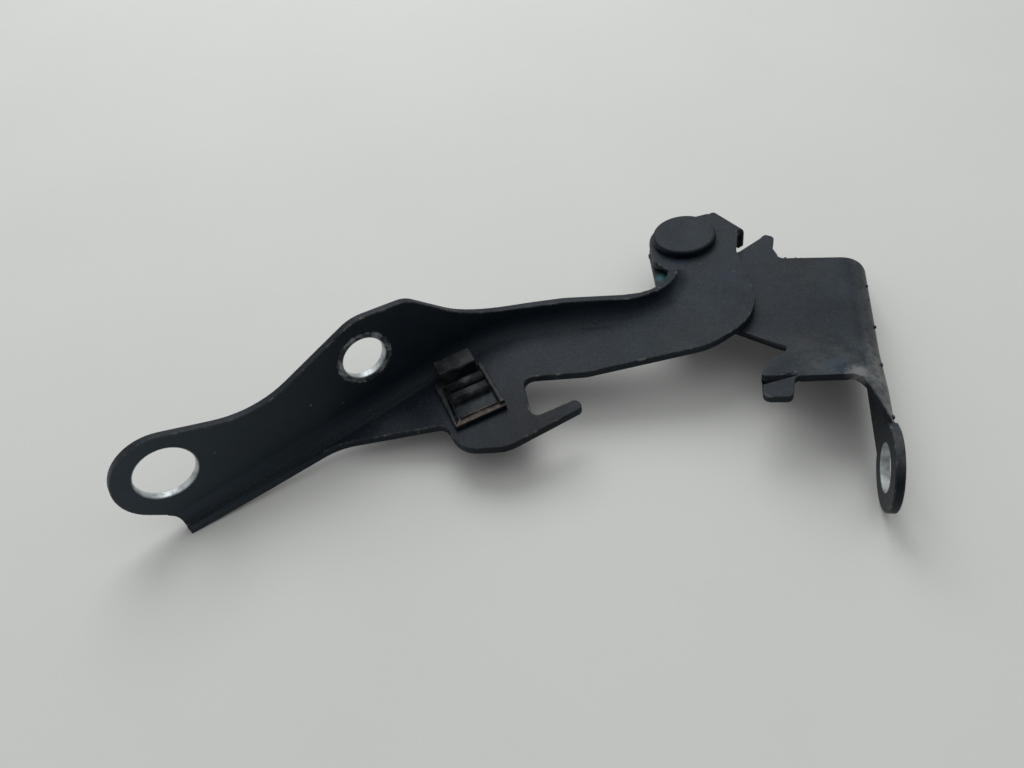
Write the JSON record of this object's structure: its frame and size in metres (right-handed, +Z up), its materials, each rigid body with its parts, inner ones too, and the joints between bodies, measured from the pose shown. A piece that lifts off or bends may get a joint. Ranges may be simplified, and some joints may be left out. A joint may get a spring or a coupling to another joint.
{
  "type": "bonnet hinge",
  "caption": "Gooseneck bonnet hinge: a pressed steel arm with a bolt flange and safety hook turns on a shouldered rivet in a pressed steel body bracket.",
  "frame": {"origin": "middle of the lying hinge's box, on the ground", "axes": "+X along the longest extent, from the bonnet end to the bracket's foot; +Z up from the ground; pivot axis near +Z"},
  "size_m": [0.2056, 0.1492, 0.0398],
  "materials": {
    "arm_coat": "black dip coat, semi-gloss, dusty",
    "bracket_coat": "black dip coat, semi-gloss, worn grey at the fold",
    "rivet_coat": "black coat over steel, satin",
    "washer_plastic": "black moulded plastic",
    "bush_bronze": "plain bearing bronze",
    "clip_plastic": "black moulded plastic, dusty"
  },
  "bodies": {
    "bracket": {"body_bracket": "bracket_coat", "pivot_rivet": "rivet_coat", "thrust_washer": "washer_plastic"},
    "arm": {"bonnet_arm": "arm_coat", "pivot_bush": "bush_bronze", "hose_clip": "clip_plastic"}
  },
  "joints": [
    {"name": "arm_hinge", "type": "hinge", "parent": "bracket", "child": "arm", "pos_m": [0.04102, 0.05697, 0.01947], "axis": [-0.1298, 0, 0.9915], "range_deg": [-16, 38]}
  ]
}
